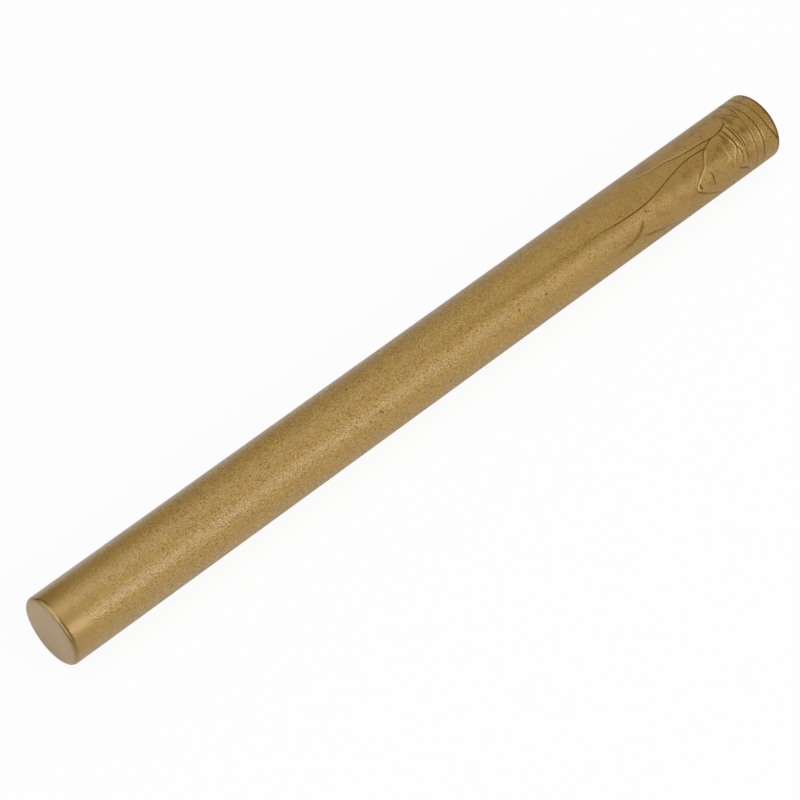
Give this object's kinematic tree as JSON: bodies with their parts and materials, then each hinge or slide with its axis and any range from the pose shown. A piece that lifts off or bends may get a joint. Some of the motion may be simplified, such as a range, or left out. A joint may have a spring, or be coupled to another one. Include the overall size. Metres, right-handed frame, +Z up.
{
  "type": "sealing wax stick",
  "caption": "Solid round stick of pearl-gold sealing wax with flat ends and flow-lap creases in its skin, melted in a glue gun to seal letters.",
  "frame": {"origin": "on the desk, under the middle of the stick, which lies on its side", "axes": "+X along the stick from its plain end to its creased lap end, +Z up from the desk"},
  "size_m": [0.14, 0.011, 0.0109],
  "materials": {
    "pearl_gold_wax": "satin, with fine mica pearl"
  },
  "bodies": {
    "root": {"wax_stick": "pearl_gold_wax"}
  },
  "joints": []
}
